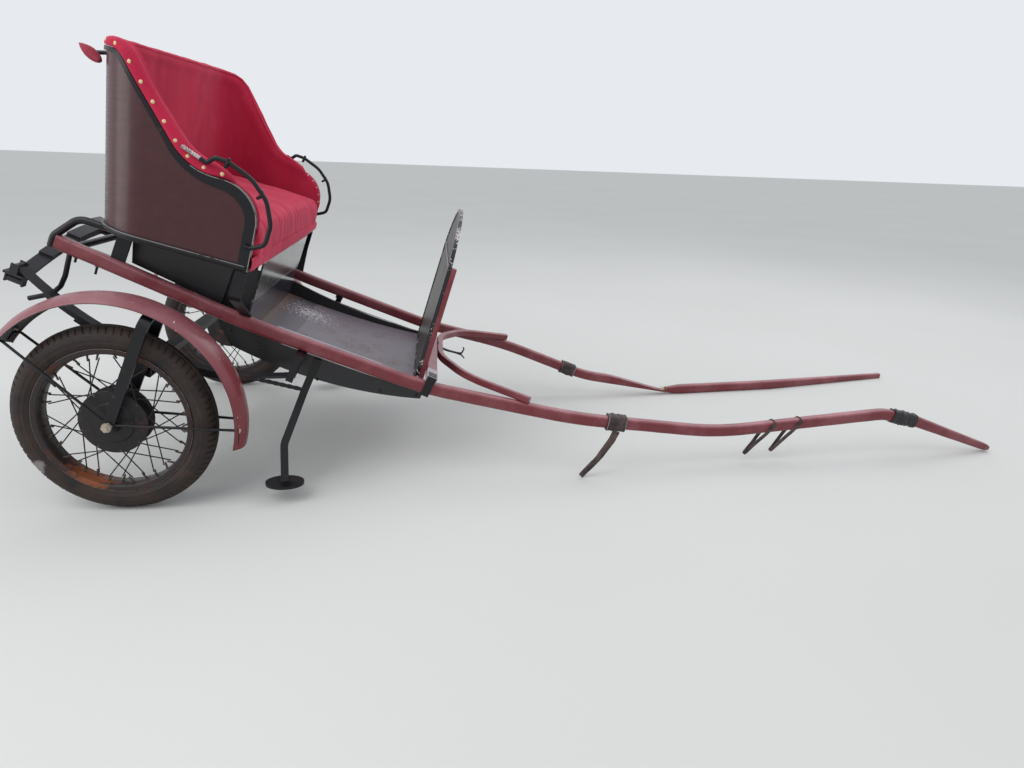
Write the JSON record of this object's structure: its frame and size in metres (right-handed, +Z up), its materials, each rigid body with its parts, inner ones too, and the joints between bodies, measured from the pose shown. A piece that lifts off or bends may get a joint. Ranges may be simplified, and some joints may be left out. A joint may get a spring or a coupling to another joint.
{
  "type": "two-wheeled horse-drawn gig",
  "caption": "Light open gig with a padded tub seat, rubber-tyred wire wheels on leaf springs and bent wooden shafts, one of them snapped, parked nose down on its shaft tip.",
  "frame": {"origin": "centre of the base of the bounding box, on the floor", "axes": "+X forward towards the shaft tips, +Y to the gig's left, +Z up; stored as it parks, tipped 24 degrees nose down about the wheel axis"},
  "size_m": [3.9392, 1.5134, 1.4662],
  "materials": {
    "shaft_wood": "worn paint, semi gloss",
    "body_wood": "gloss paint",
    "seat_wood": "gloss paint",
    "floor_sheet": "scuffed satin",
    "iron": "worn gloss",
    "spring_steel": "rusty",
    "trim_iron": "worn satin",
    "plush": "worn pile",
    "grip_pad": "worn",
    "clear_sheet": "scratched gloss",
    "dash_sheet": "patent gloss",
    "mudguard": "semi gloss",
    "tyre": "dusty matte",
    "rim": "rusty",
    "hub": "rusty satin",
    "pin": "dull",
    "strap_leather": "worn"
  },
  "bodies": {
    "carriage": {"shaft_right": "shaft_wood", "shaft_left": "shaft_wood", "shaft_left_broken_end": "shaft_wood", "splinter_bar": "shaft_wood", "splinter_straps": "iron", "bow": "shaft_wood", "trace_hook": "iron", "grip_irons": "iron", "side_panel_right": "body_wood", "side_panel_left": "body_wood", "floor_pan": "floor_sheet", "floor_bearers": "body_wood", "seat_shell": "seat_wood", "seat_edge_iron": "trim_iron", "seat_base_board": "seat_wood", "seat_board": "body_wood", "seat_lining": "plush", "seat_cushion": "plush", "heel_board": "clear_sheet", "seat_struts": "iron", "seat_legs": "iron", "rear_crossbar": "iron", "cross_spring": "spring_steel", "spring_shackles": "spring_steel", "axle_beam": "iron", "dash_panel": "dash_sheet", "dash_frame": "iron", "dash_posts": "shaft_wood", "axle_pin_right": "pin", "wheel_fork_right": "iron", "fender_right": "mudguard", "fender_stays_right": "iron", "side_spring_right": "spring_steel", "spring_hanger_right": "iron", "rear_hoop_right": "iron", "arm_rail_right": "iron", "back_grip_right": "grip_pad", "step_right": "iron", "axle_pin_left": "pin", "wheel_fork_left": "iron", "fender_left": "mudguard", "fender_stays_left": "iron", "side_spring_left": "spring_steel", "spring_hanger_left": "iron", "rear_hoop_left": "iron", "arm_rail_left": "iron", "back_grip_left": "grip_pad", "step_left": "iron", "tug_stops": "strap_leather", "shaft_loops": "strap_leather", "shaft_wrap": "strap_leather", "rear_irons": "iron", "step_stays": "iron"},
    "wheel_right": {"tyre_right": "tyre", "rim_right": "rim", "hub_right": "hub"},
    "wheel_left": {"tyre_left": "tyre", "rim_left": "rim", "hub_left": "hub"}
  },
  "joints": [
    {"name": "wheel_right_spin", "type": "hinge", "parent": "carriage", "child": "wheel_right", "pos_m": [-1.6474, -0.66472, 0.31501], "axis": [0, 1, 0], "continuous": true},
    {"name": "wheel_left_spin", "type": "hinge", "parent": "carriage", "child": "wheel_left", "pos_m": [-1.6474, 0.61328, 0.31501], "axis": [0, 1, 0], "continuous": true}
  ]
}
